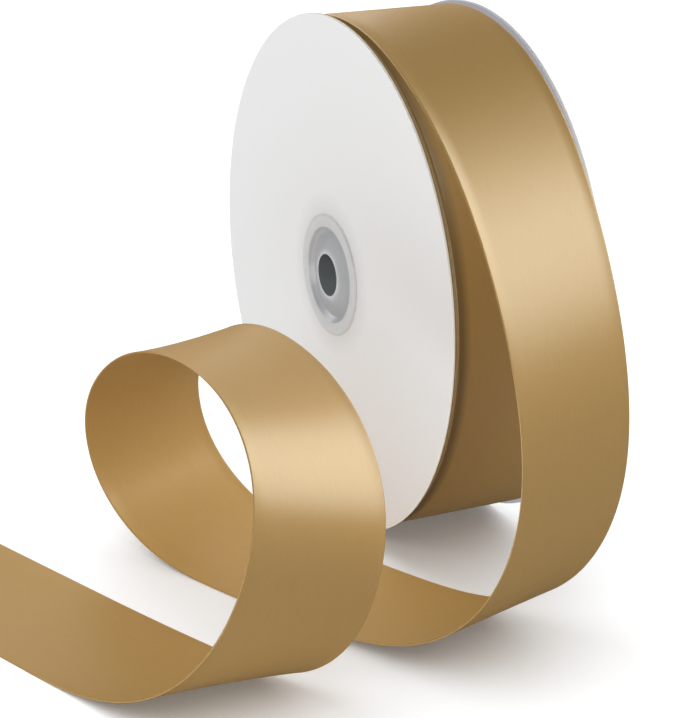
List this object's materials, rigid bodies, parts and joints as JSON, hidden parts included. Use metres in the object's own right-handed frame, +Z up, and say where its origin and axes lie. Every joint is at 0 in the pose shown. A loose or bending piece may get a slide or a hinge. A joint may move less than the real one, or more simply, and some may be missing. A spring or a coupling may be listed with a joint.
{
  "type": "ribbon spool",
  "caption": "Wide satin ribbon wound on a card spool with a snap-in plastic hub, its free end drawn off the top, looped once and laid along the surface.",
  "frame": {"origin": "centre of the spool on the bore's axis, midway between the flanges", "axes": "+Y along the bore from the front flange to the rear flange, +Z up, +X towards the side where the free ribbon comes down"},
  "size_m": [0.181, 0.1724, 0.1352],
  "materials": {
    "satin": "satin, antique gold, duller on its inner face",
    "card": null,
    "core_card": null,
    "hub_plastic": "translucent moulded plastic",
    "tape": "clear tape"
  },
  "bodies": {
    "free_ribbon": {"ribbon_takeoff": "satin", "ribbon_drop": "satin", "ribbon_landing": "satin", "ribbon_floor_run": "satin", "ribbon_loop_rise": "satin", "ribbon_loop_top": "satin", "ribbon_loop_fall": "satin", "ribbon_tail": "satin"},
    "spool": {"front_flange": "card", "rear_flange": "card", "core_tube": "core_card", "front_hub_half": "hub_plastic", "rear_hub_half": "hub_plastic", "start_tape": "tape", "ribbon_pack": "satin"}
  },
  "joints": [
    {"name": "spool_spin", "type": "hinge", "parent": "free_ribbon", "child": "spool", "pos_m": [0, 0, 0], "axis": [0, 1, 0], "continuous": true}
  ]
}
